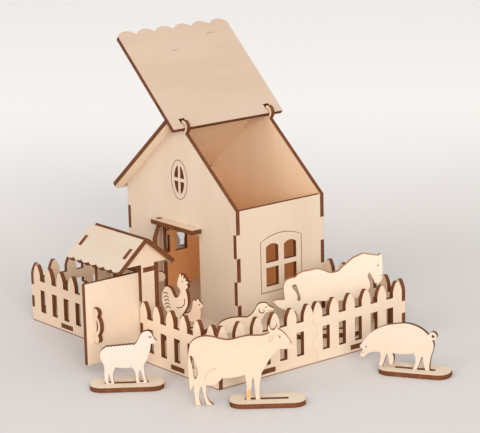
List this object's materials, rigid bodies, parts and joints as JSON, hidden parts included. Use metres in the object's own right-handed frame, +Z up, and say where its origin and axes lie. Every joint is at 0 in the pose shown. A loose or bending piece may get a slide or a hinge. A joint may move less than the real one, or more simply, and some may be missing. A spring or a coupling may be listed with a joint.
{
  "type": "model farmhouse",
  "caption": "Play farm of slotted plywood: a house with a lift-up roof and a door, a picket-fenced yard with a roofed gate, and flat animals on slotted bases.",
  "frame": {"origin": "middle of the fenced yard, on the ground that the fence feet stand on", "axes": "+Z up, -Y to the side with the gate, +X to the side that the roof lid opens over; the longest side runs along X"},
  "size_m": [0.3547, 0.2761, 0.2398],
  "materials": {
    "birch_ply": "raw sanded birch plywood with brown laser-cut edges"
  },
  "bodies": {
    "farm": {"fence_front_right": "birch_ply", "fence_front_left": "birch_ply", "fence_right_front": "birch_ply", "fence_right_back": "birch_ply", "fence_left_front": "birch_ply", "fence_left_back": "birch_ply", "fence_back_right": "birch_ply", "fence_back_left": "birch_ply", "yard_floor": "birch_ply", "front_gable_wall": "birch_ply", "back_gable_wall": "birch_ply", "right_side_wall": "birch_ply", "left_side_wall": "birch_ply", "left_roof_panel": "birch_ply", "door_canopy": "birch_ply", "gate_side_right": "birch_ply", "gate_side_left": "birch_ply", "gate_lintel": "birch_ply", "gate_back_frame": "birch_ply", "gate_roof_front": "birch_ply", "gate_roof_back": "birch_ply", "sheep_base": "birch_ply", "cow_base": "birch_ply", "pig_base": "birch_ply", "horse_base": "birch_ply", "dog_base": "birch_ply", "rooster_base": "birch_ply", "cat_base": "birch_ply"},
    "lid": {"roof_lid": "birch_ply"},
    "front_door": {"house_door": "birch_ply", "door_knob": "birch_ply"},
    "gate": {"gate_door": "birch_ply", "gate_handle": "birch_ply"},
    "sheep_figure": {"sheep": "birch_ply"},
    "cow_figure": {"cow": "birch_ply"},
    "pig_figure": {"pig": "birch_ply"},
    "horse_figure": {"horse": "birch_ply"},
    "dog_figure": {"dog": "birch_ply"},
    "rooster_figure": {"rooster": "birch_ply"},
    "cat_figure": {"cat": "birch_ply"}
  },
  "joints": [
    {"name": "lid_hinge", "type": "hinge", "parent": "farm", "child": "lid", "pos_m": [-0.03521, 0.0462, 0.16739], "axis": [0, 1, 0], "range_deg": [0, 177.4]},
    {"name": "house_door_hinge", "type": "hinge", "parent": "farm", "child": "front_door", "pos_m": [-0.0678, -0.00459, 0.04], "axis": [0, 0, 1], "range_deg": [-79, 41]},
    {"name": "gate_hinge", "type": "hinge", "parent": "farm", "child": "gate", "pos_m": [0.02551, -0.0951, 0.04], "axis": [0, 0, 1], "range_deg": [-90, 10]},
    {"name": "sheep_lift", "type": "slide", "parent": "farm", "child": "sheep_figure", "axis": [0, 0, 1], "range_m": [0, 0.04]},
    {"name": "cow_lift", "type": "slide", "parent": "farm", "child": "cow_figure", "axis": [0, 0, 1], "range_m": [0, 0.04]},
    {"name": "pig_lift", "type": "slide", "parent": "farm", "child": "pig_figure", "axis": [0, 0, 1], "range_m": [0, 0.04]},
    {"name": "horse_lift", "type": "slide", "parent": "farm", "child": "horse_figure", "axis": [0, 0, 1], "range_m": [0, 0.04]},
    {"name": "dog_lift", "type": "slide", "parent": "farm", "child": "dog_figure", "axis": [0, 0, 1], "range_m": [0, 0.04]},
    {"name": "rooster_lift", "type": "slide", "parent": "farm", "child": "rooster_figure", "axis": [0, 0, 1], "range_m": [0, 0.04]},
    {"name": "cat_lift", "type": "slide", "parent": "farm", "child": "cat_figure", "axis": [0, 0, 1], "range_m": [0, 0.04]}
  ]
}
